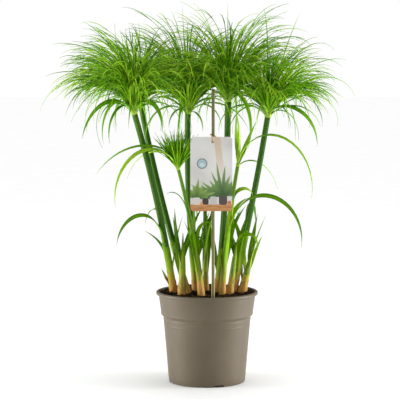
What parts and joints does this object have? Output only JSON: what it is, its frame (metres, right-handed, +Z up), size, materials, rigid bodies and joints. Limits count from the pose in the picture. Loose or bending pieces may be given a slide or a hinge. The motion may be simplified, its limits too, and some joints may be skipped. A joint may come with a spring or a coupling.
{
  "type": "potted papyrus plant",
  "caption": "Potted papyrus sedge: a round plastic nursery pot of peat, tall bare stems with mop-like drooping heads, young stems, basal leaves and a card tied to a cane.",
  "frame": {"origin": "centre of the pot's underside, on the surface that it stands on", "axes": "+Z up, -Y towards the front, where the label card hangs, +X to the right seen from the front"},
  "size_m": [0.5808, 0.4115, 0.7081],
  "materials": {
    "pot_plastic": "satin",
    "peat_soil": "matte",
    "stem_green": "satin",
    "leaf_green": "satin",
    "head_green": "satin",
    "cane": "matte",
    "card": "gloss",
    "raffia": "matte"
  },
  "bodies": {
    "root": {"head_left_back": "head_green", "head_left_front": "head_green", "head_middle": "head_green", "head_right": "head_green", "head_right_middle": "head_green", "label_card": "card", "label_stake": "cane", "label_tie": "raffia", "leaf_01": "leaf_green", "leaf_02": "leaf_green", "leaf_03": "leaf_green", "leaf_04": "leaf_green", "leaf_05": "leaf_green", "leaf_06": "leaf_green", "leaf_07": "leaf_green", "leaf_08": "leaf_green", "leaf_09": "leaf_green", "leaf_10": "leaf_green", "leaf_11": "leaf_green", "leaf_12": "leaf_green", "leaf_13": "leaf_green", "leaf_14": "leaf_green", "leaf_15": "leaf_green", "leaf_16": "leaf_green", "leaf_17": "leaf_green", "leaf_18": "leaf_green", "leaf_19": "leaf_green", "leaf_20": "leaf_green", "leaf_21": "leaf_green", "pot": "pot_plastic", "shoot_left": "stem_green", "shoot_middle": "stem_green", "shoot_right": "stem_green", "soil": "peat_soil", "stem_left_back": "stem_green", "stem_left_front": "stem_green", "stem_middle": "stem_green", "stem_right": "stem_green", "stem_right_middle": "stem_green", "young_head_left": "head_green", "young_head_middle": "head_green", "young_head_right": "head_green", "young_stem_left": "stem_green", "young_stem_middle": "stem_green", "young_stem_right": "stem_green"}
  },
  "joints": []
}
